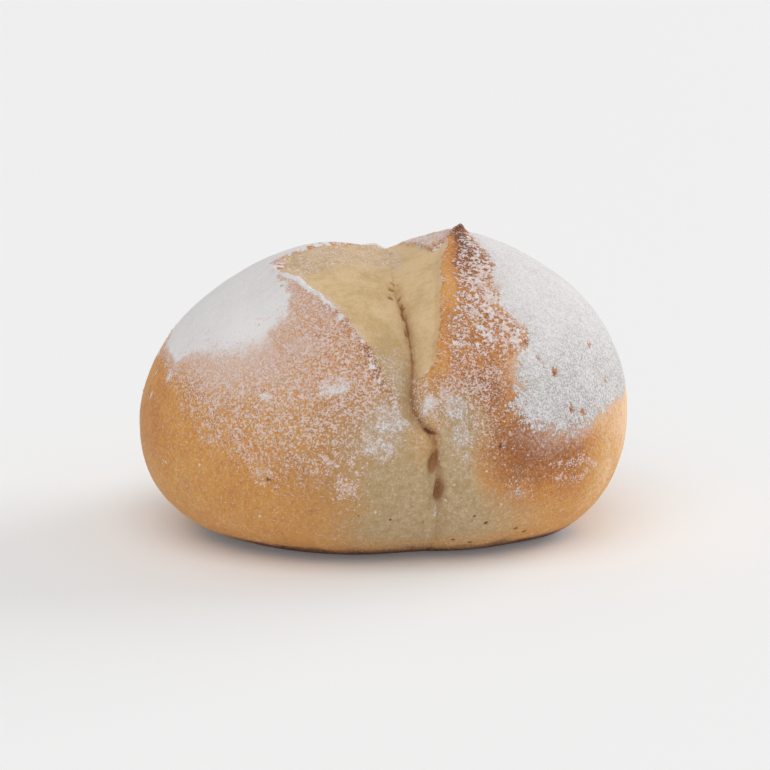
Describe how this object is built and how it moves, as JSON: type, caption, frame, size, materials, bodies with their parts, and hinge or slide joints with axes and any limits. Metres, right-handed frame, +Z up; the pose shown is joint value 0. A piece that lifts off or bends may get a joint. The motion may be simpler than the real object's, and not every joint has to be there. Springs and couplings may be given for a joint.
{
  "type": "bread roll",
  "caption": "Round two-lobed bread roll with a browned, floured crust, torn open along its middle, on a flat underside.",
  "frame": {"origin": "middle of the flat underside, at table height", "axes": "+Z up; +X across the split, from the lower left lobe to the higher right lobe; +Y from the front of the roll to its back, along the split"},
  "size_m": [0.0992, 0.085, 0.0601],
  "materials": {
    "crust": "matte"
  },
  "bodies": {
    "root": {"bread_roll": "crust"}
  },
  "joints": []
}
